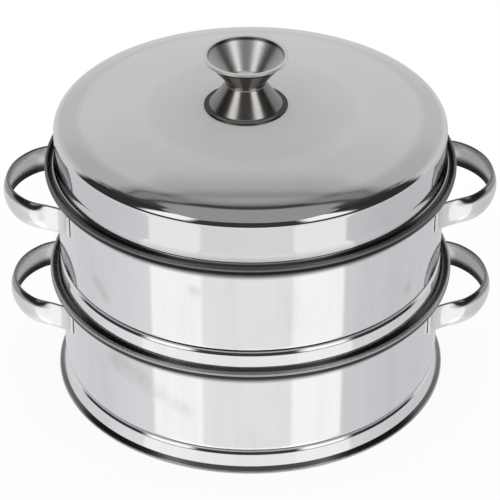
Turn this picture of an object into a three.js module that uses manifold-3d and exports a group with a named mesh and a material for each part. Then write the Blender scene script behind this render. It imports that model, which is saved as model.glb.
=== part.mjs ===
// Two-tier steamer pot: a water pot, a steaming tier with a lift-out plate, and a domed lid with a knob.
// Millimetres, +Z up. The origin is on the floor, under the middle of the pot. The handles lie along X.
import * as THREE from 'three';
import { mergeVertices } from 'three/addons/utils/BufferGeometryUtils.js';
import Module from 'manifold-3d';

const wasm = await Module();
wasm.setup();

// Clearances
const GAP = 0.3; // between pieces that touch
const FIT = 0.4; // radial play of a foot in a rim, of the pan in its bead and of the stud in its holes
const PLATE_PLAY = 0.6; // radial play of the steam plate and the pan's collar in the wall

// Walls of the two tiers
const WALL_R = 130; // outside of the wall
const SHEET = 0.8; // sheet of the walls, lid, pan and plate
const TIER_H = 80; // from the foot to the seat that carries the next tier
const FOOT_W = 4.9; // how far the foot flange stands out from the wall
const FOOT_H = 3;
const FOOT_EDGE = 0.7; // rounding of the flange's edge
const EASE = 0.9; // small bends between wall, foot and seat
const RIM_W = 2.2; // rolled rim
const RIM_UP = 4.4; // rolled rim above the seat
const RIM_DROP = 2; // rolled rim below the seat
const BEAD_Z = 14.4; // middle of the pressed-in bead
const BEAD_D = 1.8;
const BEAD_FLAT = 1.4;

// Base pan of the lower tier
const PAN_LIFT = 2.5; // air under the pan
const PAN_CORNER = 6;
const COLLAR_H = 6;

// Perforated steam plate of the upper tier
const PLATE_RIM = 6;
const HOLE_R = 5;
const HOLE_PITCH = 24; // from ring to ring, and about the same along a ring
const HOLE_MARGIN = 16; // from the outer ring's centres to the edge of the plate

// Lid
const LID_R = 130.4; // outside of the skirt
const SKIRT_H = 29.1; // from the lid's foot to the start of its round edge
const LID_EDGE_R = 5.5;
const DOME_R = 1150;

// Knob of two spun halves on one stud, a little off the lid's centre
const KNOB_X = -3;
const KNOB_SHEET = 1.2;
const FLANGE_R = 27.8;
const FLANGE_T = 1.5;
const BELL_R = 24.2;
const BELL_H = 17.2;
const SHOULDER_R = 15;
const SHOULDER_DROP = 2.4;
const NECK_R = 13.4;
const NECK_H = 2;
const CUP_H = 19.8;
const CUP_R = 28.6;
const CUP_MOUTH_R = 26;
const CUP_FLOOR_R = 11.5;
const CUP_LIP_T = 1.4;
const STUD_R = 3;
const STUD_HEAD_R = 7;
const STUD_HEAD_T = 1.6;
const STUD_END = 2; // stud past the nut
const WASHER_R = 9;
const WASHER_T = 1.2;
const NUT_FLATS = 10;
const NUT_H = 5;

// Loop handles of crowned strip, with flat tabs against the wall
const HANDLE_Z = 61.1; // middle of the strip above the tier's foot
const HANDLE_REACH = 36; // from the wall to the crest of the strip
const LOOP_HALF = 40.5; // half the width of the loop
const TAB_IN = 45.5; // where a tab lands on the wall, from the loop's middle
const TAB_LENGTH = 6;
const STRAP_H = 18.6;
const STRAP_T = 1.5;
const STRAP_CROWN = 2.8; // bulge of the strip's face
const CROWN_START = 4; // the bulge grows over this stretch of the loop
const CROWN_FULL = 22;
const UPPER_TURN = 1.6; // degrees that the upper tier stands turned on the lower one

// Facets
const SHELL_STEPS = 48;
const KNOB_STEPS = 36;
const STUD_STEPS = 20;
const HOLE_SIDES = 6;
const STRAP_STATIONS = 28;
const STRAP_FACETS = 4;

// Sizes that follow from these
const wallIn = WALL_R - SHEET;
const footR = WALL_R + FOOT_W;
const rimIn = footR + FIT;
const tierPitch = TIER_H + GAP;
const beadHalf = BEAD_FLAT / 2 + BEAD_D;
const bendLag = SHEET * Math.tan(Math.PI / 8); // shift of the inner face at a 45 degree bend
const ledgeGap = GAP * Math.SQRT2; // the gap, measured upwards from the 45 degree ledge
const plateR = wallIn - PLATE_PLAY;
const studHole = STUD_R + FIT;

const radians = THREE.MathUtils.degToRad;

// Height above the tier's foot at which something rests on the bead's ledge at a radius
function ledge(radius) {
  return BEAD_Z + beadHalf + bendLag - (wallIn - radius) + ledgeGap;
}

function arc(centreR, centreZ, radius, fromDeg, toDeg, steps) {
  const points = [];
  for (let i = 0; i <= steps; i += 1) {
    const angle = radians(fromDeg + ((toDeg - fromDeg) * i) / steps);
    points.push([centreR + radius * Math.cos(angle), centreZ + radius * Math.sin(angle)]);
  }
  return points;
}

// Turns a profile of radius and height pairs about Z. It runs anticlockwise, and closes on itself
// or on the axis.
function revolve(profile, steps) {
  const onAxis = profile[0][0] === 0;
  const loop = onAxis ? profile : [...profile, profile[0]];
  const points = loop.map(([radius, height]) => new THREE.Vector2(radius, height));
  return new THREE.LatheGeometry(points, steps).rotateX(Math.PI / 2);
}

function toSolid(geometry) {
  const bare = geometry.clone();
  bare.deleteAttribute('normal');
  bare.deleteAttribute('uv');
  const merged = mergeVertices(bare);
  const vertProperties = new Float32Array(merged.attributes.position.array);
  const triVerts = new Uint32Array(merged.index.array);
  return new wasm.Manifold(new wasm.Mesh({ numProp: 3, vertProperties, triVerts }));
}

function toGeometry(solid) {
  const mesh = solid.getMesh();
  const geometry = new THREE.BufferGeometry();
  geometry.setAttribute('position', new THREE.BufferAttribute(new Float32Array(mesh.vertProperties), 3));
  geometry.setIndex(new THREE.BufferAttribute(new Uint32Array(mesh.triVerts), 1));
  geometry.computeVertexNormals();
  return geometry;
}

// Outline of a foot flange from the floor, round its edge and back in to the wall
function footOutline(wallR) {
  return [
    ...arc(footR - FOOT_EDGE, FOOT_EDGE, FOOT_EDGE, -90, 0, 2),
    ...arc(footR - FOOT_EDGE, FOOT_H - FOOT_EDGE, FOOT_EDGE, 0, 90, 2),
    [wallR + EASE, FOOT_H],
    [wallR, FOOT_H + EASE],
  ];
}

function tierWall() {
  const roll = RIM_W / 2;
  const rollMid = rimIn + roll;
  return revolve([
    [wallIn, 0],
    ...footOutline(WALL_R),
    [WALL_R, BEAD_Z - beadHalf],
    [WALL_R - BEAD_D, BEAD_Z - BEAD_FLAT / 2],
    [WALL_R - BEAD_D, BEAD_Z + BEAD_FLAT / 2],
    [WALL_R, BEAD_Z + beadHalf],
    [WALL_R, TIER_H - SHEET - EASE],
    [WALL_R + EASE, TIER_H - SHEET],
    ...arc(rollMid, TIER_H - RIM_DROP + roll, roll, 180, 360, 4),
    ...arc(rollMid, TIER_H + RIM_UP - roll, roll, 0, 180, 4),
    [rimIn, TIER_H],
    [wallIn + EASE, TIER_H],
    [wallIn, TIER_H - EASE],
    [wallIn, BEAD_Z + beadHalf + bendLag],
    [wallIn - BEAD_D, BEAD_Z + BEAD_FLAT / 2 + bendLag],
    [wallIn - BEAD_D, BEAD_Z - BEAD_FLAT / 2 - bendLag],
    [wallIn, BEAD_Z - beadHalf - bendLag],
  ], SHELL_STEPS);
}

// Deep dish that hangs in the bead, with a collar against the wall
function basePan() {
  const panR = wallIn - BEAD_D - FIT;
  const cornerR = panR - PAN_CORNER;
  const cornerZ = PAN_LIFT + PAN_CORNER;
  const collarTop = ledge(plateR) + COLLAR_H;
  return revolve([
    [0, PAN_LIFT],
    ...arc(cornerR, cornerZ, PAN_CORNER, -90, 0, 3),
    [panR, ledge(panR)],
    [plateR, ledge(plateR)],
    [plateR, collarTop],
    [plateR - SHEET, collarTop],
    [plateR - SHEET, ledge(plateR) + bendLag],
    [panR - SHEET, ledge(panR) + bendLag],
    ...arc(cornerR, cornerZ, PAN_CORNER - SHEET, 0, -90, 3),
    [0, PAN_LIFT + SHEET],
  ], SHELL_STEPS);
}

function polygonPath(centreX, centreY, radius, sides) {
  const points = [];
  for (let i = 0; i < sides; i += 1) {
    const angle = (2 * Math.PI * i) / sides;
    points.push(new THREE.Vector2(centreX + radius * Math.cos(angle), centreY + radius * Math.sin(angle)));
  }
  return points;
}

// Flat disc with rings of steam holes, joined to an upright rim
function steamPlate() {
  const disc = new THREE.Shape(polygonPath(0, 0, plateR - SHEET / 2, SHELL_STEPS));
  const rings = Math.floor((plateR - HOLE_MARGIN) / HOLE_PITCH);
  disc.holes.push(new THREE.Path(polygonPath(0, 0, HOLE_R, HOLE_SIDES)));
  for (let ring = 1; ring <= rings; ring += 1) {
    const count = 6 * ring;
    for (let i = 0; i < count; i += 1) {
      const angle = (2 * Math.PI * i) / count;
      const x = ring * HOLE_PITCH * Math.cos(angle);
      const y = ring * HOLE_PITCH * Math.sin(angle);
      disc.holes.push(new THREE.Path(polygonPath(x, y, HOLE_R, HOLE_SIDES)));
    }
  }
  const flat = new THREE.ExtrudeGeometry(disc, { depth: SHEET, bevelEnabled: false });
  const rim = revolve([
    [plateR - SHEET, 0],
    [plateR, 0],
    [plateR, PLATE_RIM],
    [plateR - SHEET, PLATE_RIM],
  ], SHELL_STEPS);
  return toGeometry(toSolid(flat).add(toSolid(rim)));
}

// The round edge runs into the dome without a crease, where both have this slope.
const domeSlope = Math.asin((LID_R - LID_EDGE_R) / (DOME_R - LID_EDGE_R));
const domeCentreZ = SKIRT_H + (LID_EDGE_R - DOME_R) * Math.cos(domeSlope);

function domeHeight(radius) {
  return domeCentreZ + Math.sqrt(DOME_R ** 2 - radius ** 2);
}

function lidShell() {
  const edgeMid = LID_R - LID_EDGE_R;
  const slopeDeg = 90 - THREE.MathUtils.radToDeg(domeSlope);
  const innerDome = arc(0, domeCentreZ, DOME_R - SHEET, 90, slopeDeg, 4).slice(1);
  const outerDome = arc(0, domeCentreZ, DOME_R, slopeDeg, 90, 4).slice(1, -1);
  const shell = revolve([
    [0, domeCentreZ + DOME_R - SHEET],
    ...innerDome,
    ...arc(edgeMid, SKIRT_H, LID_EDGE_R - SHEET, slopeDeg, 0, 3).slice(1),
    [LID_R - SHEET, 0],
    ...footOutline(LID_R),
    ...arc(edgeMid, SKIRT_H, LID_EDGE_R, 0, slopeDeg, 4),
    ...outerDome,
    [0, domeCentreZ + DOME_R],
  ], SHELL_STEPS);
  const drill = new THREE.CylinderGeometry(studHole, studHole, DOME_R - domeCentreZ, STUD_STEPS);
  drill.rotateX(Math.PI / 2);
  drill.translate(KNOB_X, 0, domeHeight(0));
  return toGeometry(toSolid(shell).subtract(toSolid(drill)));
}

// Lower half of the knob: a hollow cone with a flange on the lid and a closed top
function knobBell() {
  const slant = Math.atan2(BELL_R - SHOULDER_R, BELL_H - SHOULDER_DROP - FLANGE_T);
  const side = KNOB_SHEET / Math.cos(slant);
  return revolve([
    [BELL_R - side, 0],
    [FLANGE_R, 0],
    [FLANGE_R, FLANGE_T],
    [BELL_R, FLANGE_T],
    [SHOULDER_R, BELL_H - SHOULDER_DROP],
    [NECK_R, BELL_H],
    [studHole, BELL_H],
    [studHole, BELL_H - KNOB_SHEET],
    [NECK_R - side, BELL_H - KNOB_SHEET],
    [SHOULDER_R - side, BELL_H - SHOULDER_DROP],
    [BELL_R - side, FLANGE_T],
  ], KNOB_STEPS);
}

// Upper half of the knob: a funnel with a flat floor and an outward lip
function knobCup() {
  return revolve([
    [studHole, 0],
    [NECK_R, 0],
    [NECK_R, NECK_H],
    [CUP_MOUTH_R + KNOB_SHEET / 2, CUP_H - CUP_LIP_T],
    [CUP_R, CUP_H - CUP_LIP_T],
    [CUP_R, CUP_H],
    [CUP_MOUTH_R, CUP_H],
    [CUP_FLOOR_R, KNOB_SHEET],
    [studHole, KNOB_SHEET],
  ], KNOB_STEPS);
}

// Flat-headed stud, with the underside of its head at zero
function knobStud(length) {
  return revolve([
    [0, -length],
    [STUD_R, -length],
    [STUD_R, 0],
    [STUD_HEAD_R, 0],
    [STUD_HEAD_R, STUD_HEAD_T / 2],
    [STUD_HEAD_R - STUD_HEAD_T, STUD_HEAD_T],
    [0, STUD_HEAD_T],
  ], STUD_STEPS);
}

function knobWasher() {
  return revolve([
    [studHole, 0],
    [WASHER_R, 0],
    [WASHER_R, WASHER_T],
    [studHole, WASHER_T],
  ], STUD_STEPS);
}

function knobNut() {
  const outline = new THREE.Shape(polygonPath(0, 0, NUT_FLATS / Math.sqrt(3), 6));
  outline.holes.push(new THREE.Path(polygonPath(0, 0, STUD_R + GAP, STUD_STEPS)));
  return new THREE.ExtrudeGeometry(outline, { depth: NUT_H, bevelEnabled: false });
}

// Middle line of a handle's strip in plan, for the handle on the +X side, from its front tab to its back tab
function handleCurve(tabR) {
  const chordX = Math.sqrt(WALL_R ** 2 - LOOP_HALF ** 2);
  const depth = WALL_R + HANDLE_REACH - STRAP_T / 2 - STRAP_CROWN - chordX;
  const side = [];
  for (const along of [TAB_LENGTH, TAB_LENGTH / 2, 0]) {
    const y = TAB_IN + along;
    side.push(new THREE.Vector3(Math.sqrt(tabR ** 2 - y ** 2), -y, 0));
  }
  for (const angle of [75, 55, 36, 18]) {
    const x = chordX + depth * Math.cos(radians(angle));
    side.push(new THREE.Vector3(x, -LOOP_HALF * Math.sin(radians(angle)), 0));
  }
  const crest = new THREE.Vector3(chordX + depth, 0, 0);
  const mirrored = side.map((point) => new THREE.Vector3(point.x, -point.y, 0)).reverse();
  return new THREE.CatmullRomCurve3([...side, crest, ...mirrored]);
}

// One ring of points round the strip: its outer face from bottom to top, then its inner face back down
function strapSection(curve, share, tabR) {
  const point = curve.getPointAt(share);
  point.multiplyScalar(Math.max(1, tabR / point.length()));
  const tangent = curve.getTangentAt(share);
  const outward = new THREE.Vector3(tangent.y, -tangent.x, 0);
  const start = Math.sqrt(WALL_R ** 2 - LOOP_HALF ** 2);
  const crown = STRAP_CROWN * THREE.MathUtils.smoothstep(point.x, start + CROWN_START, start + CROWN_FULL);
  const outer = [];
  const inner = [];
  for (let i = 0; i <= STRAP_FACETS; i += 1) {
    const up = (2 * i) / STRAP_FACETS - 1;
    const bulge = crown * (1 - up ** 2);
    const middle = point.clone().addScaledVector(outward, bulge);
    middle.z = (up * STRAP_H) / 2;
    outer.push(middle.clone().addScaledVector(outward, STRAP_T / 2));
    inner.unshift(middle.clone().addScaledVector(outward, -STRAP_T / 2));
  }
  return [...outer, ...inner];
}

// Skins the rings of the strip, and closes both ends
function loopHandle() {
  const tabR = WALL_R + GAP + STRAP_T / 2;
  const curve = handleCurve(tabR);
  const positions = [];
  for (let i = 0; i <= STRAP_STATIONS; i += 1) {
    for (const point of strapSection(curve, i / STRAP_STATIONS, tabR)) {
      positions.push(point.x, point.y, point.z);
    }
  }
  const count = 2 * (STRAP_FACETS + 1);
  const last = STRAP_STATIONS * count;
  const faces = [];
  for (let base = 0; base < last; base += count) {
    for (let k = 0; k < count; k += 1) {
      const a = base + k;
      const b = base + ((k + 1) % count);
      faces.push(a, a + count, b + count);
      faces.push(a, b + count, b);
    }
  }
  for (let k = 0; k < STRAP_FACETS; k += 1) {
    const across = count - 1 - k;
    faces.push(k, k + 1, across - 1);
    faces.push(k, across - 1, across);
    faces.push(last + k, last + across - 1, last + k + 1);
    faces.push(last + k, last + across, last + across - 1);
  }
  const geometry = new THREE.BufferGeometry();
  geometry.setAttribute('position', new THREE.Float32BufferAttribute(positions, 3));
  geometry.setIndex(faces);
  geometry.computeVertexNormals();
  return geometry;
}

// Finishes
const polished = () => new THREE.MeshStandardMaterial({ color: 0xd4d6d8, metalness: 1, roughness: 0.1 });
const satin = () => new THREE.MeshStandardMaterial({ color: 0xc6c7c8, metalness: 1, roughness: 0.3 });
const brushed = () => new THREE.MeshStandardMaterial({ color: 0xbdbab4, metalness: 1, roughness: 0.28 });

function piece(name, geometry, material, z = 0) {
  const mesh = new THREE.Mesh(geometry, material);
  mesh.name = name;
  mesh.position.z = z;
  return mesh;
}

function handlePair(tier, turnDeg) {
  const pair = new THREE.Group();
  const right = piece(`${tier}_handle_right`, loopHandle(), polished(), HANDLE_Z);
  const left = piece(`${tier}_handle_left`, loopHandle(), polished(), HANDLE_Z);
  left.rotation.z = Math.PI;
  pair.add(right, left);
  pair.rotation.z = radians(turnDeg);
  return pair;
}

const lowerTier = new THREE.Group();
lowerTier.add(piece('lower_wall', tierWall(), polished()));
lowerTier.add(piece('lower_base', basePan(), satin()));
lowerTier.add(handlePair('lower', 0));

const upperTier = new THREE.Group();
upperTier.position.z = tierPitch;
upperTier.add(piece('upper_wall', tierWall(), polished()));
upperTier.add(piece('steam_plate', steamPlate(), satin(), ledge(plateR)));
upperTier.add(handlePair('upper', UPPER_TURN));

// The knob stands on the dome. Its washer and nut hang under it, with a gap at each face.
const bellZ = domeHeight(BELL_R) + GAP;
const cupZ = bellZ + BELL_H + GAP;
const headZ = cupZ + KNOB_SHEET + GAP;
const washerZ = domeHeight(WASHER_R) - SHEET - GAP - WASHER_T;
const nutZ = washerZ - GAP - NUT_H;

const knob = new THREE.Group();
knob.position.x = KNOB_X;
knob.add(piece('knob_bell', knobBell(), brushed(), bellZ));
knob.add(piece('knob_cup', knobCup(), brushed(), cupZ));
knob.add(piece('knob_stud', knobStud(headZ - nutZ + STUD_END), satin(), headZ));
knob.add(piece('knob_washer', knobWasher(), satin(), washerZ));
knob.add(piece('knob_nut', knobNut(), satin(), nutZ));

const lid = new THREE.Group();
lid.position.z = 2 * tierPitch;
lid.add(piece('lid_shell', lidShell(), polished()));
lid.add(knob);

const steamer = new THREE.Group();
steamer.add(lowerTier, upperTier, lid);

export default steamer;
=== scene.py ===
"""Two-tier steamer pot in polished steel: a water pot, a steaming tier with a lift-out plate, and a lid.

Metres, +Z up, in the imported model's frame. The handles lie along X, and the camera looks along +Y.
Sizes are written in millimetres and turned into metres by MM, and angles are written in degrees.
"""
import math

import bpy
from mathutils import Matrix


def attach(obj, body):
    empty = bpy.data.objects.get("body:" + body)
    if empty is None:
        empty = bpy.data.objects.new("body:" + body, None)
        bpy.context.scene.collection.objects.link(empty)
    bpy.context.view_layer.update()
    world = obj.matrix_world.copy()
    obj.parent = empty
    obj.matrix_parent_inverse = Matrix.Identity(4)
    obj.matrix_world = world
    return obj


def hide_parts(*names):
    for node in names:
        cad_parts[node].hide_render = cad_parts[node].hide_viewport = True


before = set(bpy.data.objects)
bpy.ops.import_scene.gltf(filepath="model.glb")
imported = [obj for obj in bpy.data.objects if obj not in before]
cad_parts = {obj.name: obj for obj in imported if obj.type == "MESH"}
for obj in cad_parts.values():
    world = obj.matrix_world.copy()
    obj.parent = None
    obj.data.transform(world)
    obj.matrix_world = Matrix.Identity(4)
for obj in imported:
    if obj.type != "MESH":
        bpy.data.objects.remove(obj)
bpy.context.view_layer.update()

MM = 0.001

# Clearances
GAP = 0.3  # between pieces that touch
FIT = 0.4  # play of a foot in a rim, of the pan in its bead and of the stud in its holes
PLATE_PLAY = 0.6  # play of the plate and of the pan's collar in the wall

# Walls of the two tiers
WALL_R = 130.0
SHEET = 0.8
TIER_H = 80.0  # from the foot to the seat that carries the next tier
FOOT_W = 4.9
FOOT_H = 3.0
FOOT_EDGE = 1.5  # the flange slopes down to this height at its edge
FLARE = 1.9  # how much wider the wall is where it meets the flange
FLARE_UP = 1.0  # and how much higher than the flange it does so
RIM_W = 2.2
RIM_UP = 4.4  # rolled rim above the seat
RIM_DROP = 2.0  # and below it
ROLL_IN = 0.8  # middle of the roll, from the rim's inside
ROLL_BELLY = 1.9  # height above the seat where the roll is widest
ROLL_HEM = 0.5  # the rim's inside starts this far above the roll's lowest point
ROLL_LIP = 1.0  # and ends this far below its top
BEAD_Z = 14.4  # middle of the pressed-in bead
BEAD_D = 1.8
BEAD_FLAT = 1.4
GROOVE_D = 1.15  # the bead's groove as it shows outside
GROOVE_DIP = 0.5  # its deepest line lies this far below the bead's middle
GROOVE_DOWN = 2.1  # it starts this far below the bead's middle
GROOVE_UP = 2.8  # and runs out this far above it
UPPER_TURN = 1.6  # the upper tier stands turned on the lower one

TIER_PITCH = TIER_H + GAP
WALL_IN = WALL_R - SHEET
FOOT_R = WALL_R + FOOT_W
RIM_IN = FOOT_R + FIT
BEAD_HALF = BEAD_FLAT / 2 + BEAD_D
BEND_LAG = SHEET * math.tan(math.pi / 8)  # shift of the inner face at a 45 degree bend

# Pan and plate
PAN_LIFT = 2.5  # air under the pan
PAN_CORNER = 6.0
COLLAR_H = 6.0
PLATE_R = WALL_IN - PLATE_PLAY
PLATE_RIM = 6.0
PLATE_BEND = 2.0
PLATE_EASE = 0.22
HOLE_R = 5.0
HOLE_PITCH = 24.0
HOLE_RINGS = 4

# Lid: the knob stands on a dome of one radius, and the sheet's own slopes differ a little from it
LID_R = 130.4
LID_Z = 2 * TIER_PITCH
SKIRT_H = 29.1
LID_EDGE_R = 5.5
DOME_R = 1150.0
DOME_SLOPE = math.asin((LID_R - LID_EDGE_R) / (DOME_R - LID_EDGE_R))
DOME_MID_Z = SKIRT_H + (LID_EDGE_R - DOME_R) * math.cos(DOME_SLOPE)
CROWN_H = DOME_MID_Z + DOME_R
LID_SLOPES = ((0, 0), (116, 5.9), (119.5, 10.0), (125.23, 11.8))  # radius and slope
LID_BEND = 6.5  # round edge between the dome and the skirt
LID_FLARE = 0.65 * FLARE
LID_FLARE_TOP = 9.0
LID_FLARE_ROUND = 12.0

# Knob
KNOB_X = -3.0
KNOB_SHEET = 1.2
FLANGE_R = 27.8
FLANGE_T = 1.5
BELL_R = 24.2
BELL_H = 17.2
SHOULDER_R = 15.0
SHOULDER_DROP = 2.4
NECK_R = 13.4
NECK_H = 2.0
CUP_H = 19.8
CUP_R = 28.6
CUP_MOUTH_R = 25.3
CUP_FLANK = 1.3  # how much wider than its mouth the funnel is outside, under the lip
CUP_FLOOR_R = 11.5
CUP_LIP_T = 1.4
STUD_R = 3.0
STUD_HEAD_R = 7.0
STUD_HEAD_T = 1.6
STUD_HEAD_ROUND = 1.2
STUD_HEAD_EASE = 0.3
STUD_END = 2.0  # stud past the nut
STUD_TIP_IN = 0.8  # chamfer of its end
STUD_TIP_H = 0.6
THREAD_PITCH = 1.0
THREAD_DEPTH = 0.45
THREAD_CREST = 0.12
STUD_HOLE = STUD_R + FIT
HOLE_FLAT = 2.0  # flat ring of the lid round the stud's hole
WASHER_R = 9.0
WASHER_T = 1.2
NUT_FLATS = 10.0
NUT_H = 5.0
NUT_EASE = 0.45

# Loop handles
HANDLE_Z = 61.1  # middle of the strip above the tier's foot
HANDLE_REACH = 36.0  # from the wall to the crest of the strip
LOOP_HALF = 40.5
LOOP_ANGLES = (75, 55, 36, 18)  # points of the loop's half round
LOOP_ROOT = math.sqrt(WALL_R**2 - LOOP_HALF**2)  # X of the loop's ends
TAB_IN = 45.5
TAB_LENGTH = 6.0
TAB_CORNER = 2.2
TAB_STATIONS = (0, 0.12, 0.45, 0.9, 1.5, TAB_CORNER)  # round a tab's corner, from its end
STRAP_H = 18.6
STRAP_T = 1.5
STRAP_EASE = 0.5
STRAP_CROWN = 2.8  # bulge of the strip's face
CROWN_START = 4.0  # the bulge grows over this stretch of the loop
CROWN_FULL = 22.0
CROWN_LEAST = 0.02  # left at the tabs, so that a row can grow by a factor

# Facets and roundings
SHELL_SIDES = 192
KNOB_SIDES = 96
STUD_SIDES = 48
HOLE_SIDES = 24
NUT_SIDES = 6
DOME_STEP = 5.0
SHOULDER_STEP = 0.7
LID_BEND_STEPS = 14
STRAP_STEPS = 76
STRAP_ROWS = 7  # on each side of the strip's middle
ARC_STEP = 12  # largest turn from facet to facet of a rounding
STRAIGHT = 178  # a corner flatter than this stays a point
FLAT_EDGE = 0.06  # from a rounding to the first point of the flat beside it
SMOOTH_ANGLE = 32
WELD = 0.002  # points closer than this become one
NEAR = 0.005  # a point this close to a place is taken to be there


def bead_ledge(radius):
    """Height above a tier's foot at which something rests on the bead's ledge at a radius."""
    return BEAD_Z + BEAD_HALF + BEND_LAG - (WALL_IN - radius) + GAP * math.sqrt(2)


def dome_height(radius):
    """Height above the lid's foot of the dome that carries the knob."""
    return DOME_MID_Z + math.sqrt(DOME_R**2 - radius**2)


BELL_Z = LID_Z + dome_height(BELL_R) + GAP
CUP_Z = BELL_Z + BELL_H + GAP
HEAD_Z = CUP_Z + KNOB_SHEET + GAP
WASHER_Z = LID_Z + dome_height(WASHER_R) - SHEET - GAP - WASHER_T
NUT_Z = WASHER_Z - GAP - NUT_H


# Profiles

def eased(corners):
    """Closed profile through corners of (radius, height, rounding), each rounded by a small arc.

    A point stands just beside each arc, so that the flat faces next to it keep their own shading.
    """
    points = []
    count = len(corners)
    for i, (r, z, rounding) in enumerate(corners):
        before = corners[i - 1]
        after = corners[(i + 1) % count]
        a = math.atan2(before[1] - z, before[0] - r)
        b = math.atan2(after[1] - z, after[0] - r)
        turn = (b - a + math.pi) % (2 * math.pi) - math.pi
        if rounding == 0 or abs(turn) > math.radians(STRAIGHT):
            points.append((r, z))
            continue
        middle = a + turn / 2
        reach = rounding / abs(math.sin(turn / 2))
        mid_r = r + reach * math.cos(middle)
        mid_z = z + reach * math.sin(middle)
        sweep = math.pi - abs(turn)
        steps = max(2, math.ceil(sweep / math.radians(ARC_STEP)))
        side = -math.copysign(1, turn)
        flat = rounding / math.tan(abs(turn) / 2) + FLAT_EDGE
        points.append((r + flat * math.cos(a), z + flat * math.sin(a)))
        for k in range(steps + 1):
            angle = middle + math.pi + side * sweep * (k / steps - 0.5)
            points.append((mid_r + rounding * math.cos(angle), mid_z + rounding * math.sin(angle)))
        points.append((r + flat * math.cos(b), z + flat * math.sin(b)))
    return points


def arc(mid_r, mid_z, radius, start, end, steps):
    """Points of an arc in a profile, from one angle to another."""
    angles = [math.radians(start + (end - start) * k / steps) for k in range(steps + 1)]
    return [(mid_r + radius * math.cos(a), mid_z + radius * math.sin(a)) for a in angles]


# Modelling by hand

def named(piece, name):
    piece.name = piece.data.name = name
    return piece


def pick(piece):
    """Makes a piece the only one that operators act on."""
    bpy.ops.object.select_all(action="DESELECT")
    piece.select_set(True)
    bpy.context.view_layer.objects.active = piece


def enter_edit():
    bpy.ops.object.mode_set(mode="EDIT")


def leave_edit():
    bpy.ops.object.mode_set(mode="OBJECT")


def select_points(piece, wanted):
    """Selects the vertices that wanted(co) picks. Starts and ends in edit mode."""
    bpy.ops.mesh.select_mode(type="VERT")
    bpy.ops.mesh.select_all(action="DESELECT")
    leave_edit()
    for vertex in piece.data.vertices:
        vertex.select = wanted(vertex.co)
    enter_edit()
    bpy.ops.mesh.select_mode(type="VERT")


def start_point(name, x, y, z):
    """New piece of one point, in edit mode, with the point selected."""
    bpy.ops.object.select_all(action="DESELECT")
    bpy.ops.mesh.primitive_plane_add(size=MM)
    piece = named(bpy.context.object, name)
    enter_edit()
    bpy.ops.mesh.merge(type="CENTER")
    bpy.ops.transform.translate(value=(x * MM, y * MM, z * MM))
    return piece


def extrude(dx, dy, dz):
    bpy.ops.mesh.extrude_region_move(TRANSFORM_OT_translate={"value": (dx * MM, dy * MM, dz * MM)})


def smooth():
    bpy.ops.object.shade_smooth_by_angle(angle=math.radians(SMOOTH_ANGLE))


def close_up(piece):
    """Merges doubles, turns the faces outwards and leaves edit mode with smooth shading."""
    bpy.ops.mesh.select_all(action="SELECT")
    bpy.ops.mesh.remove_doubles(threshold=WELD * MM)
    bpy.ops.mesh.normals_make_consistent(inside=False)
    leave_edit()
    smooth()
    return piece


def turned(name, profile, sides, closed=True):
    """Draws a profile of (radius, height) by extruding a point, and spins it round Z."""
    piece = start_point(name, profile[0][0], 0, profile[0][1])
    for (r0, z0), (r1, z1) in zip(profile, profile[1:]):
        extrude(r1 - r0, 0, z1 - z0)
    if closed:
        ends = [(r * MM, z * MM) for r, z in (profile[0], profile[-1])]
        select_points(piece, lambda co: any(math.hypot(co.x - r, co.z - z) < NEAR * MM for r, z in ends))
        bpy.ops.mesh.edge_face_add()
    bpy.ops.mesh.select_all(action="SELECT")
    bpy.ops.mesh.spin(steps=sides, angle=2 * math.pi, center=(0, 0, 0), axis=(0, 0, 1))
    return close_up(piece)


def apply_place(piece, x=0.0, z=0.0, turn=0.0):
    """Moves and turns a piece, and puts that into its mesh."""
    pick(piece)
    piece.location = (x * MM, 0, z * MM)
    piece.rotation_euler = (0, 0, math.radians(turn))
    bpy.ops.object.transform_apply(location=True, rotation=True, scale=False)
    return piece


def copied(piece, name):
    pick(piece)
    bpy.ops.object.duplicate()
    return named(bpy.context.object, name)


def add_modifier(piece, kind, **settings):
    """Adds a modifier with its settings and applies it."""
    bpy.context.view_layer.objects.active = piece
    modifier = piece.modifiers.new(kind.title(), kind)
    for key, value in settings.items():
        setattr(modifier, key, value)
    bpy.ops.object.modifier_apply(modifier=modifier.name)


def ease_edges(piece, width, segments, angle):
    """Rounds the edges that are sharper than an angle."""
    add_modifier(piece, "BEVEL", width=width * MM, segments=segments, limit_method="ANGLE",
                 angle_limit=math.radians(angle))


# Walls

def rim_roll():
    """Outside of the rolled rim from its lowest point to its top: a half round, longer below its belly."""
    mid_r = RIM_IN + ROLL_IN
    out = RIM_W - ROLL_IN
    roll = []
    for angle in [*range(-90, 0, 15), *range(0, 91, 10)]:
        a = math.radians(angle)
        reach = ROLL_BELLY + RIM_DROP if angle < 0 else RIM_UP - ROLL_BELLY
        roll.append((mid_r + out * math.cos(a), TIER_H + ROLL_BELLY + reach * math.sin(a)))
    return roll


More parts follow.
